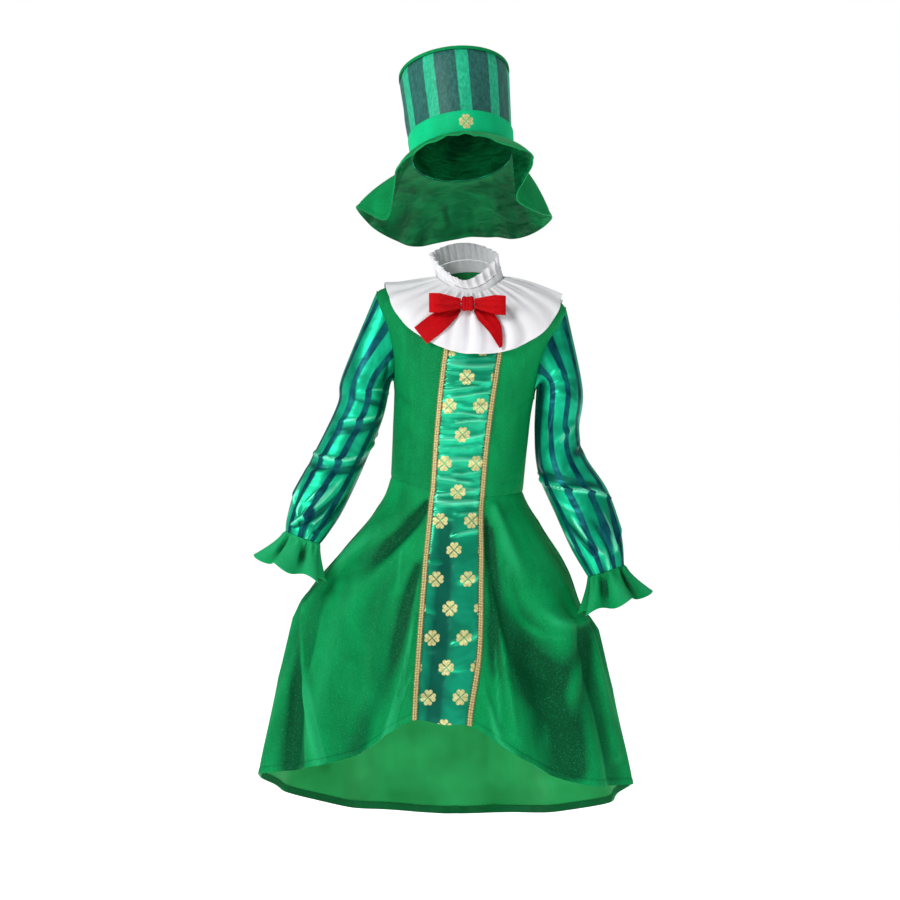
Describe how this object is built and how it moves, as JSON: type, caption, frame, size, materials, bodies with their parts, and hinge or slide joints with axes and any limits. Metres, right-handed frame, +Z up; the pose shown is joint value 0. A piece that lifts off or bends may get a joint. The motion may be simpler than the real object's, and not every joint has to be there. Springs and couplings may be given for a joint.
{
  "type": "leprechaun costume",
  "caption": "Child's leprechaun costume: green velvet dress with satin front strip, striped sleeves, white collar and red bow, and a soft striped top hat.",
  "frame": {"origin": "middle of the neckline, where the wearer's shoulders and neck hold the dress", "axes": "+Z up, the front faces -Y, +X is the wearer's left"},
  "size_m": [0.5739, 0.3916, 1.1472],
  "materials": {
    "green_velvet": "short polyester velvet, soft sheen",
    "bright_velvet": "short bright polyester velvet",
    "green_satin": "shiny satin with gold foil clovers",
    "striped_satin": "shiny satin with dark blue-green stripes",
    "striped_velour": "pressed velour in wide dark and narrow light stripes",
    "dark_facing": "dark green turned hem",
    "gold_braid": "woven gold gimp braid",
    "white_cloth": "matt white polyester",
    "red_velvet": "red velvet ribbon"
  },
  "bodies": {
    "root": {"bodice_front_right": "green_velvet", "bodice_front_left": "green_velvet", "bodice_back_right": "green_velvet", "bodice_back_left": "green_velvet", "centre_panel": "green_satin", "braid_right": "gold_braid", "braid_left": "gold_braid", "skirt_front_right": "green_velvet", "skirt_front_left": "green_velvet", "skirt_back_right": "green_velvet", "skirt_back_left": "green_velvet", "skirt_hem_facing": "dark_facing", "sleeve_right": "striped_satin", "sleeve_left": "striped_satin", "cuff_right": "green_velvet", "cuff_left": "green_velvet", "neck_band": "white_cloth", "neck_frill": "white_cloth", "collar_flounce": "white_cloth", "bow_loop_right": "red_velvet", "bow_loop_left": "red_velvet", "bow_tail_right": "red_velvet", "bow_tail_left": "red_velvet", "bow_knot": "red_velvet", "hat_tip": "green_velvet", "hat_side": "striped_velour", "hat_band": "bright_velvet", "hat_brim": "green_velvet"}
  },
  "joints": []
}
